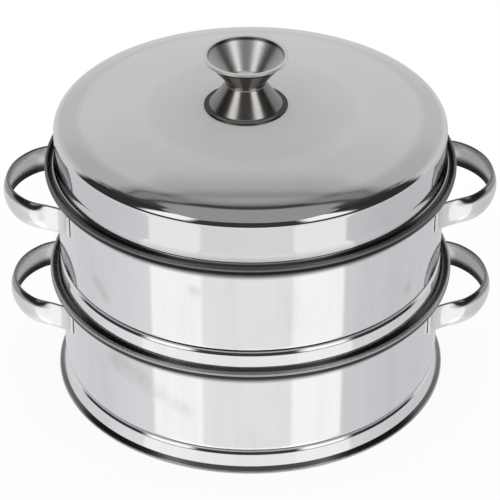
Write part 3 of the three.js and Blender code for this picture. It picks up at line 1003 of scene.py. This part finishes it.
lower_wall = tier_wall()
upper_wall = apply_place(copied(lower_wall, "upper_wall_shell"), z=TIER_PITCH, turn=UPPER_TURN)
named(lower_wall, "lower_wall_shell")
fit(lower_wall, wall_steel, "lower_pot", "lower_wall")
fit(upper_wall, wall_steel, "upper_tier", "upper_wall")
fit(base_pan(), satin_steel, "lower_pot", "lower_base")
fit(steam_plate(), satin_steel, "plate", "steam_plate")

handle = loop_handle()
tiers = (("lower", "lower_pot", 0, 0), ("upper", "upper_tier", TIER_PITCH, UPPER_TURN))
for tier, body, z, turn in tiers:
    for side, half_turn in (("right", 0), ("left", 180)):
        strip = copied(handle, f"{tier}_handle_{side}_strip")
        apply_place(strip, z=HANDLE_Z + z, turn=turn + half_turn)
        fit(strip, handle_steel, body, f"{tier}_handle_{side}")
bpy.data.objects.remove(handle)

fit(lid_shell(), lid_steel, "lid", "lid_shell")
fit(knob_bell(), bell_steel, "lid", "knob_bell")
fit(knob_cup(), cup_steel, "lid", "knob_cup")
fit(knob_stud(), fastener_steel, "lid", "knob_stud")
fit(knob_washer(), fastener_steel, "lid", "knob_washer")
fit(knob_nut(), fastener_steel, "lid", "knob_nut")
for name in ("knob_bell_cone", "knob_cup_funnel", "knob_stud_bolt"):
    bpy.data.objects[name].visible_glossy = False  # the lid's polish doesn't mirror the knob


# Studio

TURN_LEFT = 2.0  # the lights stand a little to the left
LAMP_LEVEL = 1.2
CEILING_LEVEL = 0.37
COOL = (0.98, 0.99, 1.015, 1)  # tint of the table behind the pot

TABLE_SIZE = 12.0  # metres
TABLE_WHITE = (0.9, 0.9, 0.9, 1)
TABLE_GLOW = 1.015
GLOW_SHARE = 0.88  # the rest of what the camera sees keeps the pot's shadow

CAMERA_PLACE = (0, -1.22086, 0.89357)  # metres
CAMERA_DOWN = 33.43  # below level
LENS = 153.04
SENSOR = 36.0
SHIFT_X = -0.001


def back_cloth(nodes, height, lean):
    """Level of the pale cloth behind the pot: darker upwards, with a dark line and a grey strip at its top.

    The line and the strip rise towards both sides.
    """
    line = nodes.math("ADD", height, nodes.fade(lean, 0.03, 0.13, 0, 0.5))
    line = nodes.math("SUBTRACT", line, nodes.fade(lean, 0.15, 0.31, 0, 5.4))
    top = nodes.math("SUBTRACT", height, nodes.fade(lean, 0.07, 0.16, 0, 4.8))
    top = nodes.math("SUBTRACT", top, nodes.fade(lean, 0.30, 0.65, 0, 1.5))
    level = nodes.fade(height, 5, 26, 0.76, 0.64)
    for measure, start, end, then in (
        (height, 28, 38.5, 0.54),
        (line, 38.8, 41.8, 0.34),
        (line, 41.9, 42.4, 0.08),  # the dark line
        (line, 42.7, 43.1, 0.27),  # the grey strip
        (top, 43.9, 44.5, 0.06),  # the dark above the cloth
    ):
        level = nodes.blend(nodes.fade(measure, start, end), level, then)
    return level


def soft_lamps(nodes, aside, height, lean):
    """Mask of the two tall soft lights beside the camera."""
    lamp_tall = nodes.times(nodes.band(height, 11, 17, 70, 74), nodes.fade(lean, 0.50, 0.56))
    return nodes.times(nodes.band(aside, 28, 36, 56, 64), lamp_tall)


def grey_ceiling(nodes, tilt, lean):
    """Mask of the ceiling, which widens towards the front."""
    past = nodes.math("SUBTRACT", lean, nodes.fade(tilt, 53, 102, 0.21, 0.53))
    return nodes.times(nodes.band(tilt, 50.5, 51.5, 130, 132), nodes.fade(past, -0.02, 0.02, 1, 0))


def white_table(nodes, aside, swing, height):
    """Level of the table: brightest below the lamps and near the pot, and a little shaded behind it."""
    plain = nodes.times(nodes.fade(aside, 58, 100, 0.88, 0.80), nodes.fade(height, -26, -12, 1.0, 1.08))
    shady = nodes.blend(nodes.fade(aside, 57, 61), 1.0, nodes.fade(swing, -20, 20, 0.89, 0.81))
    lit = nodes.fade(height, -26, -12, 1.06, 1.0)
    level = nodes.blend(nodes.band(aside, 26, 28, 58, 60), nodes.times(plain, shady), lit)
    return nodes.times(level, nodes.fade(height, -58, -44, 1.25, 1.0))


def studio_world():
    """White room to the camera. What shines in the steel is a light tent: a pale back, a dark front,
    two tall soft lights beside the camera, a grey ceiling and a white table."""
    world = bpy.data.worlds.new("studio")
    bpy.context.scene.world = world
    world.cycles.sampling_method = "NONE"
    nodes = Finish(world)
    x, y, z = nodes.split(nodes.node("ShaderNodeTexCoord").outputs["Generated"])
    degrees = 180 / math.pi
    height = nodes.times(nodes.math("ARCSINE", z), degrees)
    tilt = nodes.times(nodes.math("ARCTAN2", z, y), degrees)  # 0 behind, 90 overhead
    lean = nodes.math("ABSOLUTE", nodes.math("DIVIDE", x, nodes.math("MAXIMUM", z, 0.01)))
    swing = nodes.times(nodes.math("ARCTAN2", x, nodes.times(y, -1.0)), degrees)
    swing = nodes.math("ADD", swing, TURN_LEFT)
    aside = nodes.math("ABSOLUTE", swing)  # 0 towards the camera, 180 behind the pot

    front = nodes.fade(aside, 60, 80, 0.045, 0.035)
    behind = nodes.fade(nodes.math("SUBTRACT", aside, nodes.fade(height, 18, 52, 0, 16)), 101, 111)
    room = nodes.blend(behind, front, back_cloth(nodes, height, lean))
    room = nodes.blend(soft_lamps(nodes, aside, height, lean), room, LAMP_LEVEL)
    room = nodes.blend(grey_ceiling(nodes, tilt, lean), room, CEILING_LEVEL)
    on_table = nodes.fade(height, -6, -2.5, 1, 0)
    room = nodes.blend(on_table, room, white_table(nodes, aside, swing, height))

    path = nodes.node("ShaderNodeLightPath")
    shown = nodes.blend(path.outputs["Is Glossy Ray"], 1.0, room)
    shown = nodes.blend(path.outputs["Is Camera Ray"], shown, 1.0)
    cool = nodes.times(on_table, nodes.fade(aside, 58, 70), path.outputs["Is Glossy Ray"])
    light = nodes.node("ShaderNodeBackground")
    nodes.feed(light.inputs["Color"], nodes.tint(cool, (1, 1, 1, 1), COOL))
    nodes.feed(light.inputs["Strength"], shown)
    out = nodes.node("ShaderNodeOutputWorld")
    nodes.feed(out.inputs["Surface"], light.outputs[0])


def table_top():
    """Wide white table: bright to the camera, with the pot's soft shadow left in it."""
    bpy.ops.object.select_all(action="DESELECT")
    bpy.ops.mesh.primitive_plane_add(size=TABLE_SIZE)
    table = named(bpy.context.object, "table_top")
    table.visible_glossy = False
    material = bpy.data.materials.new("white_table")
    nodes = Finish(material)
    matt = nodes.node("ShaderNodeBsdfDiffuse")
    matt.inputs["Color"].default_value = TABLE_WHITE
    glow = nodes.node("ShaderNodeEmission")
    glow.inputs["Color"].default_value = (1, 1, 1, 1)
    glow.inputs["Strength"].default_value = TABLE_GLOW
    mix = nodes.node("ShaderNodeMixShader")
    path = nodes.node("ShaderNodeLightPath")
    nodes.feed(mix.inputs[0], nodes.times(path.outputs["Is Camera Ray"], GLOW_SHARE))
    nodes.feed(mix.inputs[1], matt.outputs[0])
    nodes.feed(mix.inputs[2], glow.outputs[0])
    out = nodes.node("ShaderNodeOutputMaterial")
    nodes.feed(out.inputs["Surface"], mix.outputs[0])
    table.data.materials.append(material)


def camera():
    """Camera at the photo's place: its picture is taken as 500 by 500."""
    bpy.ops.object.camera_add(location=CAMERA_PLACE, rotation=(math.radians(90 - CAMERA_DOWN), 0, 0))
    eye = bpy.context.object
    eye.data.sensor_width = SENSOR
    eye.data.lens = LENS
    eye.data.shift_x = SHIFT_X
    bpy.context.scene.camera = eye


studio_world()
table_top()
camera()
bpy.context.scene.view_settings.view_transform = "Standard"
